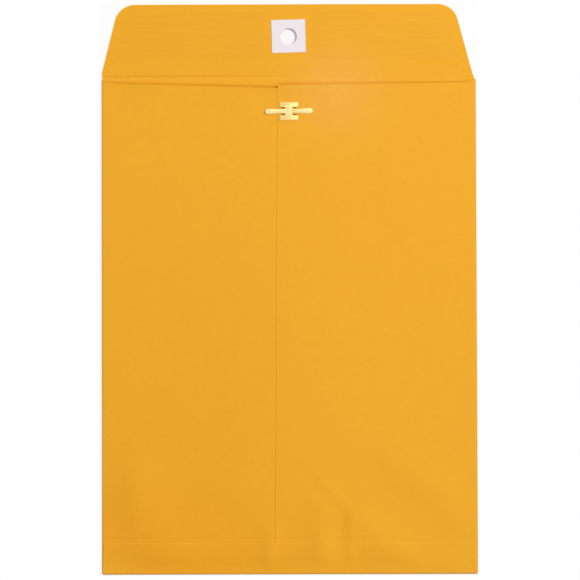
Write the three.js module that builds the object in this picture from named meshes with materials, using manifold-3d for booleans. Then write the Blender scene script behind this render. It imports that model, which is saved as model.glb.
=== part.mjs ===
// Kraft clasp envelope for 9 by 12 inch sheets, lying open with its address side down.
// Units are millimetres. X runs across the envelope, Y runs from the bottom fold towards the flap,
// and Z points up, out of the clasp side. The origin lies on the table, in the middle of the open envelope.

import * as THREE from 'three';
import * as BufferGeometryUtils from 'three/addons/utils/BufferGeometryUtils.js';
import Module from 'manifold-3d';

const wasm = await Module();
wasm.setup();

// Body sheet
const bodyWidth = 228.6;
const bodyHeight = 304.8;
const paperThickness = 0.15;
const glueThickness = 0.05;

// Seal flap, open and in line with the front panel
const flapDepth = 42.8;
const leftFlapInset = 0.1;
const rightFlapInset = 1.9;
const leftFlapRise = 1.2;
const rightFlapRise = 0.1;
const leftFlapTaper = THREE.MathUtils.degToRad(14.05);
const rightFlapTaper = THREE.MathUtils.degToRad(15.1);
const flapCornerRadius = 12.7;

// Throat: how far each back panel's top edge lies below the flap fold
const throatAtSideFold = 3.4;
const throatAtShoulder = 5.1;
const shoulderWidth = 7;
const shoulderRadius = 12;
const leftThroatAtSeam = 8.35;
const rightThroatAtSeam = 6.6;

// Centre seam: the right back panel lies on top and its free edge shows left of the middle
const seamEdgeAtThroat = 6.65;
const seamEdgeAtBottom = 8.8;
const seamOverlap = 14.65;
const seamGlueWidth = 9;
const seamGlueMargin = 4;

// Bottom flap, folded up over both back panels
const bottomFlapHeight = 19.05;
const bottomFlapTopInset = 0.8;
const bottomFlapCornerRadius = 1.5;
const bottomGlueMargin = 3;
const panelEndGap = 0.3;

// Brass clasp: an I-shaped base, four legs through the paper and two prongs
const claspBelowFold = 22.7;
const claspWidth = 11.2;
const claspHeight = 11;
const claspBarHeight = 2.7;
const claspWebWidth = 4.5;
const claspCornerRadius = 0.25;
const brassThickness = 0.3;
const legWidth = 2.2;
const legFromWeb = 0.15;
const clinchLength = 2.4;
const clinchUnderPaper = 0.05;
const clinchAboveFront = 0.15;
const slotClearance = 0.1;
const slotShow = 0.75;
const prongReach = 12.2;
const prongRootWidth = 2.4;
const prongBulbWidth = 3.4;
const prongBulbLength = 2.6;
const prongTipShare = 0.7;
const prongRootGap = 0.05;
const prongLift = 0.02;

// Reinforcing patch and the hole punched through it and the flap
const holeDiameter = 10;
const holeBeyondClasp = 0.4;
const patchWidth = 20.6;
const patchHeight = 20.1;
const patchAboveHole = 0.2;
const patchTurn = THREE.MathUtils.degToRad(1.5);
const patchThickness = 0.12;
const patchGlueThickness = 0.03;
const closedGap = 0.1;

// Dry gum on the inside of the flap, one strip each side of the patch
const gumThickness = 0.03;
const gumHeight = 29;
const gumBelowFlapTip = 5;
const gumSideMargin = 6;
const gumPatchMargin = 5;
const gumOuterRadius = 8;
const gumInnerRadius = 1.5;

const cornerSteps = 4;
const foldSteps = 8;
const holeSteps = 24;

// Heights of the layers, from the table up
const frontTop = paperThickness;
const pocketGap = clinchAboveFront + brassThickness + clinchUnderPaper;
const leftPanelBase = frontTop + pocketGap;
const leftPanelTop = leftPanelBase + paperThickness;
const rightPanelBase = leftPanelTop + glueThickness;
const rightPanelTop = rightPanelBase + paperThickness;
const bottomFlapBase = rightPanelTop + glueThickness;
const bottomFlapTop = bottomFlapBase + paperThickness;
const claspTop = rightPanelTop + brassThickness;

// Places worked out from the sizes
const openLength = bodyHeight + flapDepth;
const bottomY = -openLength / 2;
const foldY = bottomY + bodyHeight;
const leftFoldRadius = leftPanelTop / 2;
const rightFoldRadius = rightPanelTop / 2;
const bottomFoldRadius = bottomFlapTop / 2;
const leftFoldX = -bodyWidth / 2 + leftFoldRadius;
const rightFoldX = bodyWidth / 2 - rightFoldRadius;
const bottomFoldY = bottomY + bottomFoldRadius;
const sideFoldTopY = foldY - throatAtSideFold;
const panelBottomY = bottomFoldY + panelEndGap;
const leftPanelFreeX = seamOverlap - seamEdgeAtThroat;
const claspY = foldY - claspBelowFold;
const holeAboveFold = claspBelowFold + holeBeyondClasp;
const legOuterY = claspHeight / 2 - claspBarHeight;
const legMiddleX = claspWebWidth / 2 + legFromWeb + legWidth / 2;
const prongThickness = brassThickness - prongLift;
const prongAxisX = claspWebWidth / 2 + prongRootGap + prongThickness / 2;
const prongAxisZ = rightPanelTop + prongLift + prongThickness / 2;

// The closed flap's patch just clears the brass, which sets the height of the flap's hinge axis
const flapAxisZ = (claspTop + closedGap + patchThickness + patchGlueThickness + paperThickness) / 2;

const kraft = new THREE.MeshStandardMaterial({ color: 0xeea930, roughness: 0.85, metalness: 0 });
const kraftFold = new THREE.MeshStandardMaterial({ color: 0xf0b04a, roughness: 0.8, metalness: 0 });
const driedGlue = new THREE.MeshStandardMaterial({ color: 0xd9c58a, roughness: 0.5, metalness: 0 });
const flapGum = new THREE.MeshStandardMaterial({ color: 0xe6a02d, roughness: 0.45, metalness: 0 });
const whitePaper = new THREE.MeshStandardMaterial({ color: 0xeee8ee, roughness: 0.8, metalness: 0 });
const brass = new THREE.MeshStandardMaterial({ color: 0xf5e2a0, roughness: 0.3, metalness: 1 });

// A closed outline from corners [x, y] or [x, y, radius], with the stated corners rounded
function roundedShape(corners) {
  const shape = new THREE.Shape();
  corners.forEach(([x, y, radius = 0], i) => {
    const corner = new THREE.Vector2(x, y);
    const [previousX, previousY] = corners.at(i - 1);
    const [nextX, nextY] = corners[(i + 1) % corners.length];
    const back = new THREE.Vector2(previousX, previousY).sub(corner).normalize();
    const ahead = new THREE.Vector2(nextX, nextY).sub(corner).normalize();
    if (radius === 0) {
      if (i === 0) shape.moveTo(x, y);
      else shape.lineTo(x, y);
      return;
    }
    const halfAngle = back.angleTo(ahead) / 2;
    const reach = radius / Math.tan(halfAngle);
    const start = corner.clone().addScaledVector(back, reach);
    const end = corner.clone().addScaledVector(ahead, reach);
    const middle = back.clone().add(ahead).normalize();
    const centre = corner.clone().addScaledVector(middle, radius / Math.sin(halfAngle));
    const startAngle = start.sub(centre).angle();
    const endAngle = end.sub(centre).angle();
    const turnsRight = back.cross(ahead) > 0;
    shape.absarc(centre.x, centre.y, radius, startAngle, endAngle, turnsRight);
  });
  shape.closePath();
  return shape;
}

// Each rounded corner is drawn with twice the given number of steps
function extrude(shape, depth, curveSegments = cornerSteps) {
  return new THREE.ExtrudeGeometry(shape, { depth, bevelEnabled: false, curveSegments });
}

function toSolid(geometry) {
  const bare = geometry.clone();
  bare.deleteAttribute('normal');
  bare.deleteAttribute('uv');
  const merged = BufferGeometryUtils.mergeVertices(bare);
  const vertProperties = merged.getAttribute('position').array;
  const triVerts = new Uint32Array(merged.getIndex().array);
  return new wasm.Manifold(new wasm.Mesh({ numProp: 3, vertProperties, triVerts }));
}

function toGeometry(solid) {
  const mesh = solid.getMesh();
  const geometry = new THREE.BufferGeometry();
  geometry.setAttribute('position', new THREE.BufferAttribute(mesh.vertProperties, 3));
  geometry.setIndex(new THREE.BufferAttribute(mesh.triVerts, 1));
  geometry.computeVertexNormals();
  return geometry;
}

function namedMesh(name, geometry, material) {
  const mesh = new THREE.Mesh(geometry, material);
  mesh.name = name;
  return mesh;
}

// A flat sheet piece of the given outline, with its underside at height z
function sheet(name, shape, thickness, z, material) {
  const steps = shape.holes.length > 0 ? holeSteps : cornerSteps;
  const mesh = namedMesh(name, extrude(shape, thickness, steps), material);
  mesh.position.z = z;
  return mesh;
}

function punchHole(shape) {
  const hole = new THREE.Path();
  hole.absarc(0, 0, holeDiameter / 2, 0, 2 * Math.PI, false);
  shape.holes.push(hole);
}

// Each leg stands at the inner edge of a bar, close beside the web, on this side of the middle in x and in y
const legSides = [[-1, -1], [1, -1], [1, 1], [-1, 1]];

// Cuts the four slots for the legs, which also run inwards a little and show beside the prongs' roots
function cutLegSlots(geometry, baseZ) {
  const width = legWidth + 2 * slotClearance;
  const depth = slotClearance + brassThickness + slotShow;
  const middleY = legOuterY + slotClearance - depth / 2;
  let solid = toSolid(geometry);
  for (const [sideX, sideY] of legSides) {
    const slot = new THREE.BoxGeometry(width, depth, 2 * rightPanelTop);
    slot.translate(sideX * legMiddleX, claspY + sideY * middleY, rightPanelTop - baseZ);
    solid = solid.subtract(toSolid(slot));
  }
  return toGeometry(solid);
}

function slottedSheet(name, shape, thickness, z, material) {
  const mesh = namedMesh(name, cutLegSlots(extrude(shape, thickness), z), material);
  mesh.position.z = z;
  return mesh;
}

// The front (address) panel, lying on the table and running up to the flap fold
function frontPanel() {
  const shape = roundedShape([
    [leftFoldX, bottomFoldY],
    [rightFoldX, bottomFoldY],
    [rightFoldX, sideFoldTopY],
    [flapEdgeX(1, 0), foldY],
    [flapEdgeX(-1, 0), foldY],
    [leftFoldX, sideFoldTopY],
  ]);
  return sheet('front_panel', shape, paperThickness, 0, kraft);
}

// The left back panel runs under the right one, to its hidden edge past the middle
function leftBackPanel() {
  const shoulderX = leftFoldX + shoulderWidth;
  const shoulderY = foldY - throatAtShoulder;
  const slope = (leftThroatAtSeam - throatAtShoulder) / (-seamEdgeAtThroat - shoulderX);
  const freeTopY = shoulderY - slope * (leftPanelFreeX - shoulderX);
  const shape = roundedShape([
    [leftFoldX, panelBottomY],
    [leftPanelFreeX, panelBottomY],
    [leftPanelFreeX, freeTopY],
    [shoulderX, shoulderY, shoulderRadius],
    [leftFoldX, sideFoldTopY],
  ]);
  return slottedSheet('left_back_panel', shape, paperThickness, leftPanelBase, kraft);
}

// The right back panel lies on the left one, and its free edge slants a little towards the bottom
function rightBackPanel() {
  const shape = roundedShape([
    [-seamEdgeAtBottom, panelBottomY],
    [rightFoldX, panelBottomY],
    [rightFoldX, sideFoldTopY],
    [rightFoldX - shoulderWidth, foldY - throatAtShoulder, shoulderRadius],
    [-seamEdgeAtThroat, foldY - rightThroatAtSeam],
  ]);
  return slottedSheet('right_back_panel', shape, paperThickness, rightPanelBase, kraft);
}

function seamAdhesive() {
  const middleX = (leftPanelFreeX - seamEdgeAtThroat) / 2;
  const lowY = panelBottomY + seamGlueMargin;
  const highY = foldY - leftThroatAtSeam - seamGlueMargin;
  const shape = roundedShape([
    [middleX - seamGlueWidth / 2, lowY],
    [middleX + seamGlueWidth / 2, lowY],
    [middleX + seamGlueWidth / 2, highY],
    [middleX - seamGlueWidth / 2, highY],
  ]);
  return slottedSheet('seam_adhesive', shape, glueThickness, leftPanelTop, driedGlue);
}

// A folded edge of the sheet: a half ring that bulges to -x or +x, extruded along the fold
function foldedEdge(name, radius, bulge, length) {
  const shape = new THREE.Shape();
  const clockwise = bulge < 0;
  const quarter = Math.PI / 2;
  shape.absarc(0, 0, radius, -quarter, quarter, clockwise);
  shape.absarc(0, 0, radius - paperThickness, quarter, -quarter, !clockwise);
  shape.closePath();
  return namedMesh(name, extrude(shape, length, foldSteps), kraftFold);
}

function sideFold(name, radius, bulge, x) {
  const mesh = foldedEdge(name, radius, bulge, sideFoldTopY - bottomFoldY);
  mesh.rotation.x = Math.PI / 2;
  mesh.position.set(x, sideFoldTopY, radius);
  return mesh;
}

function bottomFold() {
  const mesh = foldedEdge('bottom_fold', bottomFoldRadius, -1, rightFoldX - leftFoldX);
  mesh.rotation.set(Math.PI / 2, Math.PI / 2, 0);
  mesh.position.set(leftFoldX, bottomFoldY, bottomFoldRadius);
  return mesh;
}

function bottomFlap() {
  const topY = bottomY + bottomFlapHeight;
  const shape = roundedShape([
    [leftFoldX, bottomFoldY],
    [rightFoldX, bottomFoldY],
    [rightFoldX - bottomFlapTopInset, topY, bottomFlapCornerRadius],
    [leftFoldX + bottomFlapTopInset, topY, bottomFlapCornerRadius],
  ]);
  return sheet('bottom_flap', shape, paperThickness, bottomFlapBase, kraft);
}

// The glue under the bottom flap is thicker over the left panel, which lies a sheet lower
function bottomAdhesive() {
  const leftX = leftFoldX + bottomGlueMargin;
  const rightX = rightFoldX - bottomGlueMargin;
  const stepX = -seamEdgeAtBottom - panelEndGap;
  const section = roundedShape([
    [leftX, leftPanelTop],
    [stepX, leftPanelTop],
    [stepX, rightPanelTop],
    [rightX, rightPanelTop],
    [rightX, bottomFlapBase],
    [leftX, bottomFlapBase],
  ]);
  const highY = bottomY + bottomFlapHeight - bottomGlueMargin;
  const lowY = panelBottomY + bottomGlueMargin;
  const mesh = namedMesh('bottom_adhesive', extrude(section, highY - lowY), driedGlue);
  mesh.rotation.x = Math.PI / 2;
  mesh.position.y = highY;
  return mesh;
}

function pocket() {
  const group = new THREE.Group();
  group.add(frontPanel(), leftBackPanel(), rightBackPanel(), seamAdhesive());
  group.add(sideFold('left_side_fold', leftFoldRadius, -1, leftFoldX));
  group.add(sideFold('right_side_fold', rightFoldRadius, 1, rightFoldX));
  group.add(bottomFold(), bottomFlap(), bottomAdhesive());
  return group;
}

// The x of the flap's left (side -1) or right (side 1) edge at height y above its fold
function flapEdgeX(side, y) {
  const inset = side < 0 ? leftFlapInset : rightFlapInset;
  const rise = side < 0 ? leftFlapRise : rightFlapRise;
  const taper = side < 0 ? leftFlapTaper : rightFlapTaper;
  return side * (bodyWidth / 2 - inset - Math.max(0, y - rise) * Math.tan(taper));
}

// The seal flap, with y measured from its fold, and the hole that the prongs come through
function sealFlap() {
  const shape = roundedShape([
    [flapEdgeX(-1, 0), -holeAboveFold],
    [flapEdgeX(1, 0), -holeAboveFold],
    [flapEdgeX(1, rightFlapRise), rightFlapRise - holeAboveFold],
    [flapEdgeX(1, flapDepth), flapDepth - holeAboveFold, flapCornerRadius],
    [flapEdgeX(-1, flapDepth), flapDepth - holeAboveFold, flapCornerRadius],
    [flapEdgeX(-1, leftFlapRise), leftFlapRise - holeAboveFold],
  ]);
  punchHole(shape);
  const mesh = sheet('seal_flap', shape, paperThickness, 0, kraft);
  mesh.position.y = holeAboveFold;
  return mesh;
}

function patchSheet(name, thickness, z, material) {
  const halfWidth = patchWidth / 2;
  const lowY = patchAboveHole - patchHeight / 2;
  const highY = patchAboveHole + patchHeight / 2;
  const shape = roundedShape([
    [-halfWidth, lowY],
    [halfWidth, lowY],
    [halfWidth, highY],
    [-halfWidth, highY],
  ]);
  punchHole(shape);
  const mesh = sheet(name, shape, thickness, z, material);
  mesh.position.y = holeAboveFold;
  mesh.rotation.z = patchTurn;
  return mesh;
}

function gumStrip(name, side) {
  const highY = flapDepth - gumBelowFlapTip;
  const lowY = highY - gumHeight;
  const innerX = patchWidth / 2 + gumPatchMargin;
  const shape = roundedShape([
    [side * innerX, lowY, gumInnerRadius],
    [flapEdgeX(side, lowY) - side * gumSideMargin, lowY, gumInnerRadius],
    [flapEdgeX(side, highY) - side * gumSideMargin, highY, gumOuterRadius],
    [side * innerX, highY, gumInnerRadius],
  ]);
  return sheet(name, shape, gumThickness, paperThickness, flapGum);
}

// The flap's group has its origin on the hinge axis, so a turn about X closes it
function flap() {
  const hinge = new THREE.Group();
  const openFlap = new THREE.Group();
  const patchBase = paperThickness + patchGlueThickness;
  openFlap.add(sealFlap());
  openFlap.add(patchSheet('patch_adhesive', patchGlueThickness, paperThickness, driedGlue));
  openFlap.add(patchSheet('hole_patch', patchThickness, patchBase, whitePaper));
  openFlap.add(gumStrip('left_flap_gum', -1), gumStrip('right_flap_gum', 1));
  openFlap.position.z = -flapAxisZ;
  hinge.add(openFlap);
  hinge.position.set(0, foldY, flapAxisZ);
  return hinge;
}

// A leg is bent down from a bar's inner edge, through its slot, and clinched outwards under the left panel
function claspLeg(sideX, sideY) {
  const innerY = legOuterY - brassThickness;
  const clinchTop = leftPanelBase - clinchUnderPaper;
  const clinchBase = clinchTop - brassThickness;
  const section = roundedShape([
    [sideY * innerY, claspTop],
    [sideY * innerY, clinchBase],
    [sideY * (legOuterY + clinchLength), clinchBase],
    [sideY * (legOuterY + clinchLength), clinchTop],
    [sideY * legOuterY, clinchTop],
    [sideY * legOuterY, rightPanelTop],
    [sideY * (legOuterY + brassThickness), rightPanelTop],
    [sideY * (legOuterY + brassThickness), claspTop],
  ]);
  const leg = extrude(section, legWidth);
  leg.rotateY(Math.PI / 2);
  leg.rotateX(Math.PI / 2);
  leg.translate(sideX * legMiddleX - legWidth / 2, 0, 0);
  return leg;
}

function claspBase() {
  const halfWidth = claspWidth / 2;
  const halfHeight = claspHeight / 2;
  const halfWeb = claspWebWidth / 2;
  const innerY = legOuterY;
  const round = claspCornerRadius;
  const plate = extrude(roundedShape([
    [-halfWidth, -halfHeight, round],
    [halfWidth, -halfHeight, round],
    [halfWidth, -innerY, round],
    [halfWeb, -innerY],
    [halfWeb, innerY],
    [halfWidth, innerY, round],
    [halfWidth, halfHeight, round],
    [-halfWidth, halfHeight, round],
    [-halfWidth, innerY, round],
    [-halfWeb, innerY],
    [-halfWeb, -innerY],
    [-halfWidth, -innerY, round],
  ]), brassThickness);
  plate.translate(0, 0, rightPanelTop);
  let solid = toSolid(plate);
  for (const [sideX, sideY] of legSides) {
    solid = solid.add(toSolid(claspLeg(sideX, sideY)));
  }
  return namedMesh('clasp_base', toGeometry(solid), brass);
}

// A prong, with its bend axis at the origin: it widens to a rounded tip, and its root end is round in section
function prong(name, side) {
  const tipX = claspWebWidth / 2 + prongReach - prongAxisX;
  const bulbX = tipX - prongBulbLength;
  const halfRoot = prongRootWidth / 2;
  const halfBulb = prongBulbWidth / 2;
  const halfThickness = prongThickness / 2;
  const outline = roundedShape([
    [-side * halfThickness, -halfRoot],
    [side * bulbX, -halfBulb, halfBulb],
    [side * tipX, -halfBulb * prongTipShare, halfBulb * prongTipShare],
    [side * tipX, halfBulb * prongTipShare, halfBulb * prongTipShare],
    [side * bulbX, halfBulb, halfBulb],
    [-side * halfThickness, halfRoot],
  ]);
  const plan = extrude(outline, 2 * prongThickness);
  plan.translate(0, 0, -prongThickness);
  const section = new THREE.Shape();
  section.absarc(0, 0, halfThickness, Math.PI / 2, -Math.PI / 2, side < 0);
  section.lineTo(side * (tipX + prongThickness), -halfThickness);
  section.lineTo(side * (tipX + prongThickness), halfThickness);
  section.closePath();
  const profile = extrude(section, 2 * prongBulbWidth);
  profile.rotateX(Math.PI / 2);
  profile.translate(0, prongBulbWidth, 0);
  const solid = toSolid(plan).intersect(toSolid(profile));
  const mesh = namedMesh(name, toGeometry(solid), brass);
  mesh.position.set(side * prongAxisX, 0, prongAxisZ);
  return mesh;
}

function clasp() {
  const group = new THREE.Group();
  group.position.y = claspY;
  group.add(claspBase(), prong('left_prong', -1), prong('right_prong', 1));
  return group;
}

const envelope = new THREE.Group();
envelope.add(pocket(), flap(), clasp());

export default envelope;
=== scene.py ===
# Kraft clasp envelope lying open, address side down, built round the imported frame
import math

import bmesh
import bpy
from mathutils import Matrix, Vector


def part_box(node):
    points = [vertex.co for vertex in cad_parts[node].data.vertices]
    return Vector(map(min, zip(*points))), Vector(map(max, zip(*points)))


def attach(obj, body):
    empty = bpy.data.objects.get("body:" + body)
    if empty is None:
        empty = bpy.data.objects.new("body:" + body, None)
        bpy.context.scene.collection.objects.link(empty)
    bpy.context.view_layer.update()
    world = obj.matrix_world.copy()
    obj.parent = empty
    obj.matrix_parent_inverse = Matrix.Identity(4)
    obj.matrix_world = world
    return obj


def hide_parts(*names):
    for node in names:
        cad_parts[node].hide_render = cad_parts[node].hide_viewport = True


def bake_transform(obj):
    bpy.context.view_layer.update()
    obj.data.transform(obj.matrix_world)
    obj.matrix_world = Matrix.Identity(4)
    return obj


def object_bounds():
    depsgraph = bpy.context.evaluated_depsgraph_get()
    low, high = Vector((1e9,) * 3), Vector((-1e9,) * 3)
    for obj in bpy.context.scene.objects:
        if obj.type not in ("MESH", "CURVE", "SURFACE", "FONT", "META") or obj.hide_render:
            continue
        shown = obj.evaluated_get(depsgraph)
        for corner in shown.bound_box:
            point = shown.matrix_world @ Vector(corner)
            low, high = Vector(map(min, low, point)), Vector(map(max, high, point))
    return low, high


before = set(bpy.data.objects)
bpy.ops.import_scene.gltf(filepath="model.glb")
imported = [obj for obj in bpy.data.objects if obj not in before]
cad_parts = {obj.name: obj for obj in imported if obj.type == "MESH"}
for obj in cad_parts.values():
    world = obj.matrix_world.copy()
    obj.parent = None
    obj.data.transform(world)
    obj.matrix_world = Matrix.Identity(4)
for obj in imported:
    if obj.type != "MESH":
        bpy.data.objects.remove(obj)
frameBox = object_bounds()
mm = 0.001
tiny = 1e-6
print("frame loaded:", len(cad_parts), "nodes")


# Camera, floor and light

view = {
    "cameraPlace": (4.055, -29.122, 1300),  # mm
    "cameraTurn": (0.02168, 0.00282, -0.00281),  # radians
    "sensorWidth": 36,  # mm
    "lens": 132.31,
    "clipStart": 0.01,  # m
    "floorSize": 6.0,
    "floorDrop": 0.2,  # mm under the paper
    "floorColour": (0.905, 0.868, 0.882),
    "floorRoughness": 0.9,
    "floorWhiteNear": 0.8,  # how white the camera sees the floor close to the envelope
    "floorWhiteReach": 3,  # mm to where it is fully white
    "floorInHole": (5.3, 6.2),  # mm from the hole's middle, between which the plain floor turns white
    "worldForPaper": 0.37,
    "sunPower": 2.34,
    "sunFrom": (0.94, 0.342, 0.625),
    "sunSoftness": 4,  # degrees
    "panelPower": 4.2,
    "panelPlace": (0.45, 0.45, 0.85),  # m
    "panelSize": (0.9, 0.5),
}


def makeCamera():
    camera = bpy.data.objects.new("camera", bpy.data.cameras.new("camera"))
    bpy.context.scene.collection.objects.link(camera)
    camera.location = [value * mm for value in view["cameraPlace"]]
    camera.rotation_euler = view["cameraTurn"]
    camera.data.sensor_width = view["sensorWidth"]
    camera.data.lens = view["lens"]
    camera.data.clip_start = view["clipStart"]
    bpy.context.scene.camera = camera


def addLamp(name, kind, place, towards):
    lamp = bpy.data.objects.new(name, bpy.data.lights.new(name, kind))
    bpy.context.scene.collection.objects.link(lamp)
    lamp.location = place
    lamp.rotation_euler = (Vector(towards) - Vector(place)).to_track_quat("-Z", "Y").to_euler()
    return lamp.data


def makeLight():
    sun = addLamp("sun", "SUN", view["sunFrom"], (0, 0, 0))
    sun.energy = view["sunPower"]
    sun.angle = math.radians(view["sunSoftness"])
    panel = addLamp("softPanel", "AREA", view["panelPlace"], (0, 0, 0))
    panel.shape = "RECTANGLE"
    panel.size, panel.size_y = view["panelSize"]
    panel.energy = view["panelPower"]


# A term is a number, field or socket in a node tree, so that a rule can be written as a sum

class Term:
    def __init__(self, tree, socket):
        self.tree = tree
        self.socket = socket

    def math(self, operation, *others):
        node = self.tree.nodes.new("ShaderNodeMath")
        node.operation = operation
        for place, value in enumerate((self, *others)):
            plug(self.tree, node.inputs[place], value)
        return Term(self.tree, node.outputs[0])

    def __add__(self, other):
        return self.math("ADD", other)

    def __sub__(self, other):
        return self.math("SUBTRACT", other)

    def __mul__(self, other):
        return self.math("MULTIPLY", other)

    def __truediv__(self, other):
        return self.math("DIVIDE", other)

    def __neg__(self):
        return self.math("MULTIPLY", -1)

    def __lt__(self, other):
        return self.math("LESS_THAN", other)

    def sin(self):
        return self.math("SINE")

    def cos(self):
        return self.math("COSINE")

    def exp(self):
        return self.math("EXPONENT")

    def size(self):
        return self.math("ABSOLUTE")

    def least(self, other):
        return self.math("MINIMUM", other)

    def most(self, other):
        return self.math("MAXIMUM", other)

    def ramp(self, low, high, start=0.0, end=1.0, kind="SMOOTHSTEP"):
        node = self.tree.nodes.new("ShaderNodeMapRange")
        node.interpolation_type = kind
        for place, value in enumerate((self, low, high, start, end)):
            plug(self.tree, node.inputs[place], value)
        return Term(self.tree, node.outputs[0])

    def fade(self, span, start=1.0, end=0.0):  # from start to end between the span's two lengths (mm)
        return self.ramp(span[0] * mm, span[1] * mm, start, end)


def plug(tree, socket, value):
    if isinstance(value, Term):
        value = value.socket
    if isinstance(value, bpy.types.NodeSocket):
        tree.links.new(value, socket)
    elif socket.type == "RGBA":
        socket.default_value = (*value[:3], 1)
    else:
        socket.default_value = value


def addNode(tree, kind, inputs=(), **settings):
    node = tree.nodes.new(kind)
    for name, value in settings.items():
        setattr(node, name, value)
    for name, value in dict(inputs).items():
        plug(tree, node.inputs[name], value)
    return node


def term(tree, kind, inputs=(), output=0, **settings):
    return Term(tree, addNode(tree, kind, inputs, **settings).outputs[output])


def vectorMath(tree, operation, *values, output=0):
    return term(tree, "ShaderNodeVectorMath", enumerate(values), output, operation=operation)


def vector(tree, x, y, z):
    return term(tree, "ShaderNodeCombineXYZ", {"X": x, "Y": y, "Z": z})


def parts(tree, value):
    node = addNode(tree, "ShaderNodeSeparateXYZ", {0: value})
    return [Term(tree, output) for output in node.outputs]


def scaled(tree, value, factor):
    node = addNode(tree, "ShaderNodeVectorMath", {0: value, "Scale": factor}, operation="SCALE")
    return Term(tree, node.outputs[0])


# How far a place lies off the line from one (along, across) point to another (mm)
def offLine(across, along, line):
    startAlong, startAcross, endAlong, endAcross = line
    slope = (endAcross - startAcross) / (endAlong - startAlong)
    return across - along * slope - (startAcross - startAlong * slope) * mm


socketKinds = {
    "float": "NodeSocketFloat",
    "vector": "NodeSocketVector",
    "geometry": "NodeSocketGeometry",
    "material": "NodeSocketMaterial",
    "colour": "NodeSocketColor",
}


def makeTree(name, kind, inputs, outputs):
    tree = bpy.data.node_groups.new(name, kind)
    for label, (sort, value) in inputs.items():
        socket = tree.interface.new_socket(label, in_out="INPUT", socket_type=socketKinds[sort])
        if value is not None:
            socket.default_value = value
    for label, sort in outputs.items():
        tree.interface.new_socket(label, in_out="OUTPUT", socket_type=socketKinds[sort])
    start = tree.nodes.new("NodeGroupInput")
    end = tree.nodes.new("NodeGroupOutput")
    given = {output.name: Term(tree, output) for output in start.outputs if output.name}
    return tree, given, end


def useGroup(tree, group, inputs):
    kind = "GeometryNodeGroup" if tree.bl_idname == "GeometryNodeTree" else "ShaderNodeGroup"
    node = tree.nodes.new(kind)
    node.node_tree = group
    for name, value in inputs.items():
        plug(tree, node.inputs[name], value)
    return {output.name: Term(tree, output) for output in node.outputs}


def middleOf(node):
    return sum(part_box(node), Vector()) / 2


# Relief of the paper: one ridge is a bump or a valley along a line, that dies away on both sides

def makeRidgeGroup():
    tree, given, end = makeTree("paperRidge", "GeometryNodeTree", {
        "Position": ("vector", None),
        "From": ("vector", None),
        "To": ("vector", None),
        "Width": ("float", 0.01),
        "Height": ("float", 0.0),
    }, {"Relief": "float"})
    line = vectorMath(tree, "SUBTRACT", given["To"], given["From"])
    reach = vectorMath(tree, "SUBTRACT", given["Position"], given["From"])
    along = vectorMath(tree, "DOT_PRODUCT", reach, line, output=1)
    squared = vectorMath(tree, "DOT_PRODUCT", line, line, output=1)
    share = (along / squared).most(0).least(1)
    away = vectorMath(tree, "SUBTRACT", reach, scaled(tree, line, share))
    distance = vectorMath(tree, "LENGTH", away, output=1) / given["Width"]
    relief = (-(distance * distance)).exp() * given["Height"]
    plug(tree, end.inputs["Relief"], relief)
    return tree


def addRidges(tree, group, position, ridges):
    total = None
    for fromX, fromY, toX, toY, width, height in ridges:
        relief = useGroup(tree, group, {
            "Position": position,
            "From": (fromX * mm, fromY * mm, 0),
            "To": (toX * mm, toY * mm, 0),
            "Width": width * mm,
            "Height": height * mm,
        })["Relief"]
        total = relief if total is None else total + relief
    return total


# The back panels bulge and wrinkle a little, and lie flat at their folds and under the clasp (mm)
pocketRelief = {
    "ridges": [  # from x, y to x, y, then width and height
        (0, 10, 0, -110, 62, 1.3),
        (46, 112, 54, 118, 22, 0.35),
        (-88, 127, -8, 123, 11, 0.42),
        (4, 124, 88, 127, 10, 0.32),
        (14, -118, 31.5, -138, 3.6, -0.10),
        (19, -117, 36.5, -137, 3.8, 0.13),
        (32, -143, 31, -172, 3.4, -0.11),
        (37, -142, 36, -172, 3.8, 0.15),
        (19, -132, 20, -172, 8.5, 0.32),
        (19, -154, 19, -173, 6.5, 0.25),
        (-12, -150, -13, -172, 6.5, 0.38),
        (44, -144, 74, -172, 11, 0.55),
        (66, -106, 108, -137, 13, 0.50),
        (-97, -126, -74, -162, 20, 0.95),
        (-44, -136, -40, -152, 28, 0.3),
    ],
    "cockleHeight": 0.10,
    "cockleSize": 46,
    "cockleRoughness": 0.45,
    "seed": 3.0,
    "sideRamp": 22,
    "bottomRamp": 12,
    "claspFlat": (15.5, 6.5),
    "claspRamp": 10,
}


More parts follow.
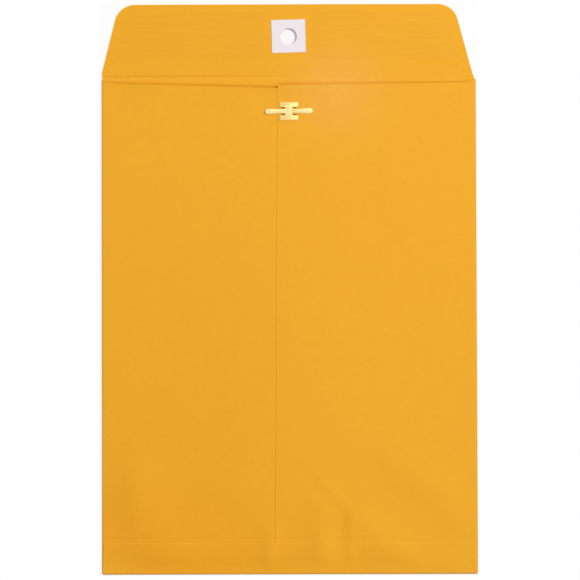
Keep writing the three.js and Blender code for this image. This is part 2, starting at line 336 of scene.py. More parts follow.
def makePocketGroup(ridgeGroup):
    low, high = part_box("right_back_panel")
    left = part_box("left_back_panel")[0]
    clasp = middleOf("clasp_base")
    tree, given, end = makeTree("pocketRelief", "GeometryNodeTree", {
        "Position": ("vector", None),
        "Left Fold": ("float", left.x),
        "Right Fold": ("float", high.x),
        "Bottom Fold": ("float", low.y),
        "Side Ramp": ("float", pocketRelief["sideRamp"] * mm),
        "Bottom Ramp": ("float", pocketRelief["bottomRamp"] * mm),
        "Clasp": ("vector", clasp),
        "Cockle Height": ("float", pocketRelief["cockleHeight"] * mm),
        "Cockle Size": ("float", pocketRelief["cockleSize"] * mm),
        "Seed": ("float", pocketRelief["seed"]),
    }, {"Relief": "float"})
    x, y, _ = parts(tree, given["Position"])
    relief = addRidges(tree, ridgeGroup, given["Position"], pocketRelief["ridges"])
    noise = term(tree, "ShaderNodeTexNoise", {
        "Vector": given["Position"],
        "W": given["Seed"],
        "Scale": given["Cockle Size"].math("POWER", -1),
        "Detail": 2.0,
        "Roughness": pocketRelief["cockleRoughness"],
    }, noise_dimensions="4D")
    relief = relief + (noise - 0.5) * given["Cockle Height"] * 2
    sides = (x - given["Left Fold"]).least(given["Right Fold"] - x).ramp(0, given["Side Ramp"])
    bottom = (y - given["Bottom Fold"]).ramp(0, given["Bottom Ramp"])
    claspX, claspY, _ = parts(tree, given["Clasp"])
    halfWide, halfHigh = pocketRelief["claspFlat"]
    acrossClasp = (x - claspX).size() - halfWide * mm
    upClasp = (y - claspY).size() - halfHigh * mm
    besideClasp = acrossClasp.most(upClasp).ramp(0, pocketRelief["claspRamp"] * mm)
    plug(tree, end.inputs["Relief"], relief * sides * bottom * besideClasp)
    return tree


# The open flap dips to its crease, then rises in a low arch; the sheet also rises a little in the mouth (mm)
flapRelief = {
    "crease": 129.2,
    "creaseRound": 0.5,
    "tipHeight": 0.7,
    "flapReach": 44.6,
    "archHalf": 122,
    "ridgeRamp": 0.5,  # share of the flap's reach over which its ridges begin
    "mouthRise": 0.15,
    "mouthWidth": 7.5,
    "mouthScale": 2.38,  # makes the curve of the mouth's rise about 1 high
    "mouthReach": 0.94,  # where that rise ends at the sides, and its ramp, as shares of archHalf
    "mouthRamp": 0.2,
    "ridges": [
        (-60, 140, -48, 172, 20, 0.10),
        (28, 142, 24, 172, 11, 0.12),
        (70, 150, 78, 172, 16, -0.10),
    ],
}


def makeFlapGroup(ridgeGroup):
    tree, given, end = makeTree("flapRelief", "GeometryNodeTree", {
        "Position": ("vector", None),
        "Crease": ("float", flapRelief["crease"] * mm),
        "Tip Height": ("float", flapRelief["tipHeight"] * mm),
        "Flap Reach": ("float", flapRelief["flapReach"] * mm),
        "Arch Half": ("float", flapRelief["archHalf"] * mm),
        "Mouth Rise": ("float", flapRelief["mouthRise"] * mm),
        "Mouth Width": ("float", flapRelief["mouthWidth"] * mm),
    }, {"Relief": "float"})
    x, y, _ = parts(tree, given["Position"])
    past = y - given["Crease"]
    rounding = flapRelief["creaseRound"] * mm
    softPast = (past * past + rounding ** 2).math("SQRT") - rounding
    onFlap = (past < 0) * -1 + 1
    share = softPast / given["Flap Reach"]
    across = x / given["Arch Half"]
    arch = (-(across * across) + 1).most(0)
    ridges = addRidges(tree, ridgeGroup, given["Position"], flapRelief["ridges"])
    rise = share * given["Tip Height"] * arch + ridges * share.ramp(0, flapRelief["ridgeRamp"])
    mouth = softPast / given["Mouth Width"]
    slope = mouth * flapRelief["mouthScale"] * (-(mouth * mouth)).exp() * given["Mouth Rise"]
    sides = (-across.size() + flapRelief["mouthReach"]).ramp(0, flapRelief["mouthRamp"])
    plug(tree, end.inputs["Relief"], rise * onFlap + slope * sides * (past < 0))
    return tree


paperLay = {  # mm
    "thickness": 0.15,
    "stepRamp": 4,  # from the fold inwards, where a step down begins
    "reliefRamp": 0.1,  # from the fold inwards, where the relief begins
}


# Lays a flat blank as paper: thickens it, rolls up what lies past the fold, and adds the relief
def makeLayTree(pocketGroup, flapGroup):
    tree, given, end = makeTree("layPaper", "GeometryNodeTree", {
        "Geometry": ("geometry", None),
        "Thickness": ("float", paperLay["thickness"] * mm),
        "Height": ("float", 0.0),
        "Fold Outwards": ("vector", (-1, 0, 0)),
        "Fold At": ("float", 10.0),
        "Fold Radius": ("float", 1.0),
        "Step Start": ("float", -1.0),
        "Step End": ("float", -0.9),
        "Step Drop": ("float", 0.0),
        "Pocket Share": ("float", 0.0),
        "Flap Share": ("float", 0.0),
        "Paper": ("material", None),
    }, {"Geometry": "geometry"})
    flat = term(tree, "GeometryNodeInputPosition")
    outwards = given["Fold Outwards"]
    past = given["Fold At"] - vectorMath(tree, "DOT_PRODUCT", flat, outwards, output=1)
    x, y, _ = parts(tree, flat)
    pocket = useGroup(tree, pocketGroup, {"Position": flat})["Relief"] * given["Pocket Share"]
    flap = useGroup(tree, flapGroup, {"Position": flat})["Relief"] * given["Flap Share"]
    step = x.ramp(given["Step Start"], given["Step End"], 1, 0) * past.ramp(0, paperLay["stepRamp"] * mm)
    relief = (pocket + flap - step * given["Step Drop"]) * past.ramp(0, paperLay["reliefRamp"] * mm)
    angle = -past / given["Fold Radius"]

    def choose(switch, no, yes):
        inputs = {"Switch": switch, "False": no, "True": yes}
        return term(tree, "GeometryNodeSwitch", inputs, input_type="VECTOR")

    def surface(above):
        lying = vector(tree, x, y, given["Height"] + above + relief)
        radius = given["Fold Radius"] - given["Thickness"] + above
        shift = scaled(tree, outwards, past + radius * angle.sin())
        level = vector(tree, 0, 0, given["Fold Radius"] + radius * angle.cos())
        rolled = vectorMath(tree, "ADD", vectorMath(tree, "ADD", flat, shift), level)
        return choose(past < 0, lying, rolled)

    def remember(geometry, name, value, kind, domain):
        inputs = {"Geometry": geometry, "Name": name, "Value": value}
        node = addNode(tree, "GeometryNodeStoreNamedAttribute", inputs, data_type=kind, domain=domain)
        return node.outputs["Geometry"]

    def shaped(kind, inputs, **settings):
        return addNode(tree, kind, inputs, **settings).outputs[0]

    rim = addNode(tree, "GeometryNodeInputMeshEdgeNeighbors").outputs[0]
    rimOnly = term(tree, "FunctionNodeCompare", {"A": rim, "B": 1}, data_type="INT", operation="EQUAL")
    selected = {"Geometry": given["Geometry"], "Selection": rimOnly}
    cut = shaped("GeometryNodeSeparateGeometry", selected, domain="EDGE")
    near = addNode(tree, "GeometryNodeProximity", {0: cut}, target_element="EDGES")
    known = remember(given["Geometry"], "blank", flat, "FLOAT_VECTOR", "POINT")
    known = remember(known, "rimDistance", near.outputs["Distance"], "FLOAT", "POINT")
    known = remember(known, "pastFold", past, "FLOAT", "POINT")
    doubled = {"Mesh": known, "Offset Scale": 0.0, "Individual": False}
    raised = addNode(tree, "GeometryNodeExtrudeMesh", doubled)
    top, side = raised.outputs["Top"], raised.outputs["Side"]
    upperPlace = choose(top, surface(0.0), surface(given["Thickness"]))
    marked = remember(raised.outputs["Mesh"], "cutEdge", side, "FLOAT", "FACE")
    sharpSide = {"Geometry": marked, "Selection": side, "Shade Smooth": False}
    marked = shaped("GeometryNodeSetShadeSmooth", sharpSide)
    shell = shaped("GeometryNodeSetPosition", {"Geometry": marked, "Position": upperPlace})
    under = shaped("GeometryNodeSetPosition", {"Geometry": known, "Position": surface(0.0)})
    under = shaped("GeometryNodeFlipFaces", {"Mesh": under})
    joined = addNode(tree, "GeometryNodeJoinGeometry")
    tree.links.new(under, joined.inputs[0])
    tree.links.new(shell, joined.inputs[0])
    closed = shaped("GeometryNodeMergeByDistance", {"Geometry": joined.outputs[0], "Distance": tiny})
    real = shaped("GeometryNodeRealizeInstances", {"Geometry": closed})
    finished = shaped("GeometryNodeSetMaterial", {"Geometry": real, "Material": given["Paper"]})
    plug(tree, end.inputs["Geometry"], finished)
    return tree


# Flat blanks

def frameSheet(node):
    sheet = bmesh.new()
    sheet.from_mesh(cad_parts[node].data)
    bmesh.ops.remove_doubles(sheet, verts=sheet.verts, dist=tiny)
    return sheet


def upperFaces(node):  # the flat upper face of a frame node, at height 0
    sheet = frameSheet(node)
    sheet.normal_update()
    level = 0.9  # a face whose normal rises less is a side or the underside
    under = [face for face in sheet.faces if face.normal.z < level]
    bmesh.ops.delete(sheet, geom=under, context="FACES")
    for vert in sheet.verts:
        vert.co.z = 0
    return sheet


def addRectangle(sheet, lowX, lowY, highX, highY):
    corners = [(lowX, lowY), (highX, lowY), (highX, highY), (lowX, highY)]
    sheet.faces.new([sheet.verts.new((x, y, 0)) for x, y in corners])


# Even lines about a cell apart, finer in the fine stretches; a special line takes the place of those near it
def cutLines(low, high, cell, special=(), fine=()):
    nearIt = cell / 4
    count = max(1, round((high - low) / cell))
    lines = [low + (high - low) * i / count for i in range(count + 1)]
    for start, end, step in fine:
        lines = [line for line in lines if line < start - step or line > end + step]
        steps = max(1, round((end - start) / step))
        lines += [start + (end - start) * i / steps for i in range(steps + 1)]
    lines = [line for line in lines if all(abs(line - other) > nearIt for other in special)]
    return sorted(lines + list(special))


# Cuts a sheet along the lines, and takes out all other inner edges and the points left on straight edges
def cutGrid(sheet, linesX, linesY):
    straightTurn = 0.001  # radians
    touching = 3 * tiny
    for axis, lines in ((0, linesX), (1, linesY)):
        normal = Vector((1, 0, 0)) if axis == 0 else Vector((0, 1, 0))
        for line in lines:
            everything = sheet.verts[:] + sheet.edges[:] + sheet.faces[:]
            at = normal * line
            bmesh.ops.bisect_plane(sheet, geom=everything, dist=tiny, plane_co=at, plane_no=normal)
    bmesh.ops.remove_doubles(sheet, verts=sheet.verts, dist=tiny)

    def onLine(edge):
        first, second = (vert.co for vert in edge.verts)
        for axis, lines in ((0, linesX), (1, linesY)):
            if abs(first[axis] - second[axis]) < tiny:
                return min(abs(first[axis] - line) for line in lines) < touching
        return False

    spare = [edge for edge in sheet.edges if len(edge.link_faces) == 2 and not onLine(edge)]
    bmesh.ops.dissolve_edges(sheet, edges=spare, use_verts=False, use_face_split=False)
    corners = [vert for vert in sheet.verts if len(vert.link_edges) == 2]
    straight = [vert for vert in corners if vert.calc_edge_angle(0) < straightTurn]
    bmesh.ops.dissolve_verts(sheet, verts=straight)
    for face in sheet.faces:
        if face.normal.z < 0:
            face.normal_flip()
        face.smooth = True


def toMesh(sheet, name):
    mesh = bpy.data.meshes.new(name)
    sheet.to_mesh(mesh)
    sheet.free()
    return mesh


def joinSheets(first, second):
    spare = bpy.data.meshes.new("spare")
    second.to_mesh(spare)
    first.from_mesh(spare)
    bpy.data.meshes.remove(spare)
    second.free()
    bmesh.ops.remove_doubles(first, verts=first.verts, dist=tiny)
    return first


def layPaper(name, sheet, material, **inputs):  # runs the blank through the tree and keeps the plain mesh
    holder = bpy.data.objects.new(name + "Blank", toMesh(sheet, name + "Blank"))
    bpy.context.scene.collection.objects.link(holder)
    modifier = holder.modifiers.new("layPaper", "NODES")
    modifier.node_group = layTree
    sockets = {item.name: item.identifier for item in layTree.interface.items_tree if item.in_out == "INPUT"}
    for label, value in {"Paper": material, **inputs}.items():
        modifier[sockets[label]] = value
    bpy.context.view_layer.update()
    evaluated = holder.evaluated_get(bpy.context.evaluated_depsgraph_get())
    mesh = bpy.data.meshes.new_from_object(evaluated)
    holder.modifiers.remove(modifier)
    bpy.data.objects.remove(holder)
    mesh.name = name
    piece = bpy.data.objects.new(name, mesh)
    bpy.context.scene.collection.objects.link(piece)
    print(name, len(mesh.polygons), "faces")
    return piece


# Materials

def makeMaterial(name):
    material = bpy.data.materials.new(name)
    material.use_nodes = True
    tree = material.node_tree
    return material, tree, tree.nodes["Principled BSDF"]


pulpLook = {
    "roughness": 0.55,
    "broadSize": 5,  # the broad clouds' size, as a multiple of the clouds' size
    "broadShare": 0.6,
    "fibreLength": (0.16, 0.22),  # stretches the noise along x and along y
    "fibreBend": (1.2, 1.0),
    "fibreLevel": 0.42,
    "fibreTooth": 0.8,
    "shine": 0.4,  # how much smoother the lighter spots are
}


# Paper pulp: a cloudy tone, long fibres and a fine tooth
def makePulpGroup():
    tree, given, end = makeTree("paperPulp", "ShaderNodeTree", {
        "Place": ("vector", None),
        "Cloud Size": ("float", 0.006),
        "Cloud Contrast": ("float", 0.02),
        "Fibre Size": ("float", 0.0004),
        "Fibre Contrast": ("float", 0.03),
        "Tooth Size": ("float", 0.0008),
    }, {"Tone": "float", "Tooth": "float"})

    def noise(size, place, detail, distortion=0.0):
        return term(tree, "ShaderNodeTexNoise", {
            "Vector": vectorMath(tree, "DIVIDE", place, vector(tree, size, size, size)),
            "Scale": 1.0,
            "Detail": detail,
            "Roughness": pulpLook["roughness"],
            "Distortion": distortion,
        }, noise_dimensions="3D")

    place = given["Place"]
    cloud = noise(given["Cloud Size"], place, detail=4.0) - 0.5
    broad = noise(given["Cloud Size"] * pulpLook["broadSize"], place, detail=2.0) - 0.5
    shrinkX, shrinkY = pulpLook["fibreLength"]
    bendX, bendY = pulpLook["fibreBend"]
    longX = vectorMath(tree, "MULTIPLY", place, (shrinkX, 1.0, 1.0))
    longY = vectorMath(tree, "MULTIPLY", place, (1.0, shrinkY, 1.0))
    fibresX = noise(given["Fibre Size"], longX, detail=2.0, distortion=bendX)
    fibresY = noise(given["Fibre Size"], longY, detail=2.0, distortion=bendY)
    fibres = fibresX.least(fibresY) - pulpLook["fibreLevel"]
    clouds = (cloud + broad * pulpLook["broadShare"]) * given["Cloud Contrast"] * 2
    tooth = noise(given["Tooth Size"], place, detail=3.0)
    plug(tree, end.inputs["Tone"], clouds + fibres * given["Fibre Contrast"] * 2 + 1)
    plug(tree, end.inputs["Tooth"], tooth + fibres * pulpLook["fibreTooth"])
    return tree


def usePulp(tree, pulpGroup, place, look):
    return useGroup(tree, pulpGroup, {
        "Place": place,
        "Cloud Size": look["cloudSize"] * mm,
        "Cloud Contrast": look["cloudContrast"],
        "Fibre Size": look["fibreSize"] * mm,
        "Fibre Contrast": look["fibreContrast"],
        "Tooth Size": look["toothSize"] * mm,
    })


def attribute(tree, name, kind="Fac"):
    return term(tree, "ShaderNodeAttribute", (), kind, attribute_name=name, attribute_type="GEOMETRY")


def objectPlace(tree):
    return term(tree, "ShaderNodeTexCoord", (), "Object")


def mixColour(tree, share, first, second):
    node = tree.nodes.new("ShaderNodeMix")
    node.data_type = "RGBA"
    plug(tree, node.inputs[0], share)
    plug(tree, node.inputs[6], first)
    plug(tree, node.inputs[7], second)
    return Term(tree, node.outputs[2])


def addBump(tree, shader, height, depth, strength=0.5):
    bump = addNode(tree, "ShaderNodeBump", {"Height": height, "Distance": depth * mm, "Strength": strength})
    tree.links.new(bump.outputs["Normal"], shader.inputs["Normal"])


def finishPaper(tree, shader, pulp, colour, look):
    plug(tree, shader.inputs["Base Color"], scaled(tree, colour, pulp["Tone"]))
    shine = pulpLook["shine"]
    plug(tree, shader.inputs["Roughness"], pulp["Tone"] * -shine + (look["roughness"] + shine))
    addBump(tree, shader, pulp["Tooth"], look["toothDepth"])


kraft = {  # lengths in mm
    "colour": (0.819, 0.381, 0.0215),
    # painted sheen: a paler colour in a soft spot right of the clasp
    "sheenColour": (0.849, 0.401, 0.053),
    # painted shade: a darker colour towards the bottom left
    "bottomLeftShadeColour": (0.827, 0.352, 0.016),
    # painted shade on the rolled folds
    "foldShadeColour": (0.533, 0.263, 0.033),
    "cutColour": (0.673, 0.373, 0.073),
    # the cut rim is paler, partly for the raw fibre and partly as a painted highlight; the painted highlight
    # line at the crease uses it too
    "rimFibreAndHighlightColour": (0.868, 0.423, 0.031),
    # painted shade at the mouth's lips; the next colour is that shade with the painted sheen on it
    "lipShadeColour": (0.738, 0.3, 0.016),
    "sheenedLipShadeColour": (0.78, 0.352, 0.034),
    # painted light beside the seam, which lightens the shadow of the right panel's edge
    "seamLightColour": (0.877, 0.416, 0.026),
    # the painted shade's spot at the bottom left, and the corner it leaves out
    "bottomLeftShadeSpot": (-92, -178, 95, 62),  # x, y, then width and height
    "cornerSpot": (-111, -171, 15, 10),
    # the painted sheen's spot
    "sheenSpot": (30, 121, 25, 24),
    "rimFade": (0.24, 0.6),  # from the cut edge
    "rimFromFold": (0.2, 1),
    "foldShadeFade": (-0.3, 0.1),
    "lipShadeRim": (116, 120),  # the rim at the mouth turns to painted shade between these heights
    "lipGap": (-6.2, 0.4, 1),  # x of the seam there, and the half width that has no painted shade rim
    "seamLine": (124.4, -6.65, -172, -8.8),  # y, x to y, x
    "seamLightFade": (0.3, 0.9),
    "roughness": 0.66,
    "specular": 0.12,
    "cloudSize": 4.5,
    "cloudContrast": 0.028,
    "fibreSize": 0.22,
    "fibreContrast": 0.13,
    "toothSize": 0.5,
    "toothDepth": 0.028,
}


def spot(tree, place, shape):
    x, y, _ = parts(tree, place)
    atX, atY, width, height = (value * mm for value in shape)
    across = (x - atX) / width
    up = (y - atY) / height
    return (-(across * across + up * up)).exp()


# The paper has painted shade towards the bottom left, except in the corner, and a painted sheen right of the
# clasp
def paperTone(tree, place, look):
    corner = spot(tree, place, kraft["cornerSpot"])
    bottomLeftShade = spot(tree, place, kraft["bottomLeftShadeSpot"]) * (-corner + 1)
    colour = mixColour(tree, bottomLeftShade, look["colour"], kraft["bottomLeftShadeColour"])
    paintedLight = spot(tree, place, kraft["sheenSpot"])
    return mixColour(tree, paintedLight, colour, look["sheenColour"])


# Painted shade for the mouth's lips, paler in the painted sheen's spot
def lipShadeTone(tree, place):
    paintedLight = spot(tree, place, kraft["sheenSpot"])
    return mixColour(tree, paintedLight, kraft["lipShadeColour"], kraft["sheenedLipShadeColour"])


mouthLines = {  # mm
    "leftLip": (-106.9, 125.9, -6.65, 122.65),  # x, y to x, y
    "rightLip": (106.9, 125.9, -6.65, 124.4),
    "bandReach": 105,
    "bandWidth": (2.3, 1.1),  # in the middle and at the reach
    "bandCore": 0.35,  # share of the width that has the full tone
    "bandStart": (-1, -0.4),
    "creaseWidth": (0.3, 1),
    # a painted shade line just past the crease, and a painted highlight line just before it
    "creaseShade": {"at": 129.95, "tone": 0.5, "across": (-50, 10), "rest": 0, "colour": "lipShadeColour"},
    "paintedLight": {"at": 128.2, "tone": 0.3, "across": (-20, 40), "rest": 0.2, "colour": "rimFibreAndHighlightColour"},
}


# The front sheet has a painted shade band just above the mouth's lips, and a painted shade line and a
# painted highlight line at the crease
def addMouthShadeAndLight(tree, place, colour):
    x, y, _ = parts(tree, place)
    isLeft = x < mouthLines["leftLip"][2] * mm
    leftHeight = offLine(y, x, mouthLines["leftLip"])
    rightHeight = offLine(y, x, mouthLines["rightLip"])
    height = leftHeight * isLeft + rightHeight * (isLeft * -1 + 1)
    middleWidth, reachWidth = mouthLines["bandWidth"]
    width = x.size().ramp(0, mouthLines["bandReach"] * mm, middleWidth * mm, reachWidth * mm)
    band = height.ramp(width * mouthLines["bandCore"], width, 1, 0)
    band = band * height.fade(mouthLines["bandStart"], 0, 1)
    # the painted shade band above the lips
    colour = mixColour(tree, band, colour, lipShadeTone(tree, place))
    for line in (mouthLines["creaseShade"], mouthLines["paintedLight"]):
        onLine = (y - line["at"] * mm).size().fade(mouthLines["creaseWidth"], line["tone"])
        along = x.fade(line["across"], 1, line["rest"])
        colour = mixColour(tree, onLine * along, colour, kraft[line["colour"]])
    return colour


def makeKraft(name, pulpGroup, atLip=False):
    material, tree, shader = makeMaterial(name)
    place = attribute(tree, "blank", "Vector")
    pulp = usePulp(tree, pulpGroup, place, kraft)
    pastFold = attribute(tree, "pastFold")
    rim = attribute(tree, "rimDistance").fade(kraft["rimFade"]) * pastFold.fade(kraft["rimFromFold"], 0, 1)
    colour = paperTone(tree, place, kraft)
    if atLip:  # the seam is painted paler to lighten its shadow, and has no painted shade rim
        x, y, _ = parts(tree, place)
        gapAt, gapInner, gapOuter = kraft["lipGap"]
        rim = rim * y.fade(kraft["lipShadeRim"], 0, 1) * (x - gapAt * mm).size().fade((gapInner, gapOuter), 0, 1)
        fromSeam = offLine(x, y, kraft["seamLine"]).size()
        colour = mixColour(tree, fromSeam.fade(kraft["seamLightFade"]), colour, kraft["seamLightColour"])
    else:
        colour = addMouthShadeAndLight(tree, place, colour)
    # the rim: on the back panels, painted shade at the lips; elsewhere paler, partly the raw fibre and
    # partly a painted highlight
    colour = mixColour(tree, rim, colour, lipShadeTone(tree, place) if atLip else kraft["rimFibreAndHighlightColour"])
    # painted shade where the paper rolls round its folds
    colour = mixColour(tree, pastFold.fade(kraft["foldShadeFade"]), colour, kraft["foldShadeColour"])
    colour = mixColour(tree, attribute(tree, "cutEdge"), colour, kraft["cutColour"])
    finishPaper(tree, shader, pulp, colour, kraft)
    shader.inputs["Specular IOR Level"].default_value = kraft["specular"]
    return material


gum = {  # lengths in mm
    "colour": (0.802, 0.371, 0.0185),
    # painted sheen on the gum, in the same spot
    "sheenColour": (0.838, 0.392, 0.05),
    "roughness": 0.56,
    "streakShine": 0.3,
    "specular": 0.16,
    "streakLength": 34,
    "streakWidth": 1.3,
    "streakContrast": 0.07,
    "streakDepth": 0.02,
    "cloudSize": 4.5,
    "cloudContrast": 0.028,
    "fibreSize": 0.22,
    "fibreContrast": 0.078,
    "toothSize": 0.9,
    "toothShare": 0.3,
}


def makeGum(pulpGroup):
    material, tree, shader = makeMaterial("driedGum")
    place = attribute(tree, "blank", "Vector")
    pulp = usePulp(tree, pulpGroup, place, gum)
    streakPlace = vectorMath(tree, "DIVIDE", place, (gum["streakLength"] * mm, gum["streakWidth"] * mm, 1))
    streaks = term(tree, "ShaderNodeTexNoise", {"Vector": streakPlace, "Scale": 1.0, "Detail": 4.0})
    tone = pulp["Tone"] + (streaks - 0.5) * gum["streakContrast"] * 2
    plug(tree, shader.inputs["Base Color"], scaled(tree, paperTone(tree, place, gum), tone))
    plug(tree, shader.inputs["Roughness"], (streaks - 0.5) * gum["streakShine"] + gum["roughness"])
    shader.inputs["Specular IOR Level"].default_value = gum["specular"]
    addBump(tree, shader, streaks + pulp["Tooth"] * gum["toothShare"], gum["streakDepth"])
    return material


patchPaper = {  # lengths in mm
    "colour": (0.790, 0.718, 0.752),
    "cutColour": (0.62, 0.56, 0.58),
    "roughness": 0.6,
    "cloudSize": 3,
    "cloudContrast": 0.012,
    "fibreSize": 0.2,
    "fibreContrast": 0.012,
    "toothSize": 0.4,
    "toothDepth": 0.01,
}


def makePatchPaper(pulpGroup):
    material, tree, shader = makeMaterial("whitePatchPaper")
    pulp = usePulp(tree, pulpGroup, attribute(tree, "blank", "Vector"), patchPaper)
    colour = mixColour(tree, attribute(tree, "cutEdge"), patchPaper["colour"], patchPaper["cutColour"])
    finishPaper(tree, shader, pulp, colour, patchPaper)
    return material


glue = {
    "colour": (0.70, 0.48, 0.16),
    "dropColour": (0.84, 0.68, 0.36),
    "dropScale": 900,
    "dropDepth": 0.02,  # mm
    "roughness": 0.3,
    "dropRoughness": 0.3,
}


def makeGlue():
    material, tree, shader = makeMaterial("driedGlue")
    place = objectPlace(tree)
    drops = term(tree, "ShaderNodeTexNoise", {"Vector": place, "Scale": glue["dropScale"], "Detail": 3.0})
    plug(tree, shader.inputs["Base Color"], mixColour(tree, drops, glue["colour"], glue["dropColour"]))
    plug(tree, shader.inputs["Roughness"], drops * glue["dropRoughness"] + glue["roughness"])
    addBump(tree, shader, drops, glue["dropDepth"])
    return material


brass = {  # lengths in mm
    "colour": (0.81, 0.61, 0.285),
    "dullColour": (0.76, 0.535, 0.205),
    "roughness": 0.40,
    "rollMark": 0.16,
    "rollStretch": 14,
    "markRoughness": 0.25,
    "cloudScale": 420,
    "cloudRoughness": 0.2,
    "dullClouds": (0.35, 0.75),
    "barFade": (2.2, 3),  # from the base's middle up and down, where the duller bars of its I shape begin
    "barDull": 0.75,
    "bumpDepth": 0.01,
    "bumpStrength": 0.4,
}


def makeBrass():
    material, tree, shader = makeMaterial("paleBrass")
    place = objectPlace(tree)
    mark = brass["rollMark"] * mm
    rolled = vectorMath(tree, "DIVIDE", place, (mark * brass["rollStretch"], mark, mark))
    marks = term(tree, "ShaderNodeTexNoise", {"Vector": rolled, "Scale": 1.0, "Detail": 3.0})
    cloud = term(tree, "ShaderNodeTexNoise", {"Vector": place, "Scale": brass["cloudScale"], "Detail": 2.0})
    up = parts(tree, place)[1] - middleOf("clasp_base").y
    onBars = up.size().fade(brass["barFade"], 0, brass["barDull"])
    dull = (cloud.ramp(*brass["dullClouds"]) + onBars).least(1)
    plug(tree, shader.inputs["Base Color"], mixColour(tree, dull, brass["colour"], brass["dullColour"]))
    roughness = (marks - 0.5) * brass["markRoughness"] + (cloud - 0.5) * brass["cloudRoughness"]
    plug(tree, shader.inputs["Roughness"], roughness + brass["roughness"])
    shader.inputs["Metallic"].default_value = 1
    addBump(tree, shader, marks + cloud, brass["bumpDepth"], brass["bumpStrength"])
    return material


# Floor and world: white where the camera or a reflection sees them, plain light on the object

def makeFloor():
    bpy.ops.mesh.primitive_plane_add(size=view["floorSize"], location=(0, 0, -view["floorDrop"] * mm))
    floor = bpy.context.object
    floor.name = "floor"
    material, tree, shader = makeMaterial("paleFloor")
    high = frameBox[1]
    x, y, _ = parts(tree, objectPlace(tree))
    outside = (x.size() - high.x).most(y.size() - high.y)
    rays = addNode(tree, "ShaderNodeLightPath")
    seen = Term(tree, rays.outputs["Is Camera Ray"])
    mirrored = Term(tree, rays.outputs["Is Glossy Ray"]) + Term(tree, rays.outputs["Is Transmission Ray"])
    hole = middleOf("hole_patch")
    fromHole = vectorMath(tree, "LENGTH", vector(tree, x - hole.x, y - hole.y, 0), output=1)
    near = (-fromHole.fade(view["floorInHole"]) + 1) * view["floorWhiteNear"]
    far = outside.fade((0, view["floorWhiteReach"]), 0, 1 - view["floorWhiteNear"])
    share = seen * (near + far) + mirrored
    plug(tree, shader.inputs["Base Color"], view["floorColour"])
    shader.inputs["Roughness"].default_value = view["floorRoughness"]
    shader.inputs["Specular IOR Level"].default_value = 0
    white = addNode(tree, "ShaderNodeEmission", {"Color": (1, 1, 1, 1), "Strength": 1.0})
    shaders = {0: share.least(1), 1: shader.outputs[0], 2: white.outputs[0]}
    mixed = addNode(tree, "ShaderNodeMixShader", shaders)
    tree.links.new(mixed.outputs[0], tree.nodes["Material Output"].inputs["Surface"])
    floor.data.materials.append(material)


def makeWorld():
    world = bpy.data.worlds.new("studio")
    bpy.context.scene.world = world
    world.use_nodes = True
    tree = world.node_tree
    background = tree.nodes["Background"]
    rays = addNode(tree, "ShaderNodeLightPath")
    seen = Term(tree, rays.outputs["Is Camera Ray"]) + Term(tree, rays.outputs["Is Glossy Ray"])
    white = (seen + Term(tree, rays.outputs["Is Transmission Ray"])).least(1)
    plug(tree, background.inputs["Color"], (1, 1, 1, 1))
    plug(tree, background.inputs["Strength"], white.ramp(0, 1, view["worldForPaper"], 1, "LINEAR"))


makeCamera()
makeLight()
makeFloor()
makeWorld()
print("camera, light and floor made")

pulpGroup = makePulpGroup()
kraftMaterial = makeKraft("kraftPaper", pulpGroup)
backMaterial = makeKraft("kraftAtMouth", pulpGroup, atLip=True)
gumMaterial = makeGum(pulpGroup)
patchMaterial = makePatchPaper(pulpGroup)
glueMaterial = makeGlue()
brassMaterial = makeBrass()
ridgeGroup = makeRidgeGroup()
layTree = makeLayTree(makePocketGroup(ridgeGroup), makeFlapGroup(ridgeGroup))
print("materials and node trees made")


# Front sheet: address panel and seal flap in one, with the punched hole

frontSheet = {  # mm
    "cell": 2.5,
    "creaseFine": (127.9, 133.2, 0.33),
    "holeGrow": 1.03,  # the kraft's hole is a little wider than the patch's
    "holeReach": 8,  # from the hole's middle, and past its rim
    "bendStart": 129.67,
    "bendEnd": 132.33,
}


def makeFrontSheet():
    panelLow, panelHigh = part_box("front_panel")
    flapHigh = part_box("seal_flap")[1]
    sheet = joinSheets(upperFaces("front_panel"), upperFaces("seal_flap"))
    hole = middleOf("hole_patch")
    hole.z = 0
    for vert in sheet.verts:
        if (vert.co - hole).length < frontSheet["holeReach"] * mm:
            vert.co = hole + (vert.co - hole) * frontSheet["holeGrow"]
    start, end, step = (value * mm for value in frontSheet["creaseFine"])
    cell = frontSheet["cell"] * mm
    linesX = cutLines(panelLow.x, panelHigh.x, cell)
    linesY = cutLines(panelLow.y, flapHigh.y, cell, [], [(start, end, step)])
    cutGrid(sheet, linesX, linesY)
    piece = layPaper("frontSheet", sheet, kraftMaterial, **{
        "Thickness": panelHigh.z - panelLow.z, "Height": panelLow.z, "Flap Share": 1.0})
    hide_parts("front_panel", "seal_flap")
    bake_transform(piece)


makeFrontSheet()


# Back panels, each with its side fold, and the bottom flap with its fold

backSheets = {  # mm
    "cell": 1.6,
    "foldSteps": 10,
    "stepStart": -18.8,  # the bottom flap steps down between these two, beside the right panel's free edge
    "stepEnd": -12.5,
}


def stepDown(drop):
    return {
        "Step Start": backSheets["stepStart"] * mm,
        "Step End": backSheets["stepEnd"] * mm,
        "Step Drop": drop,
    }


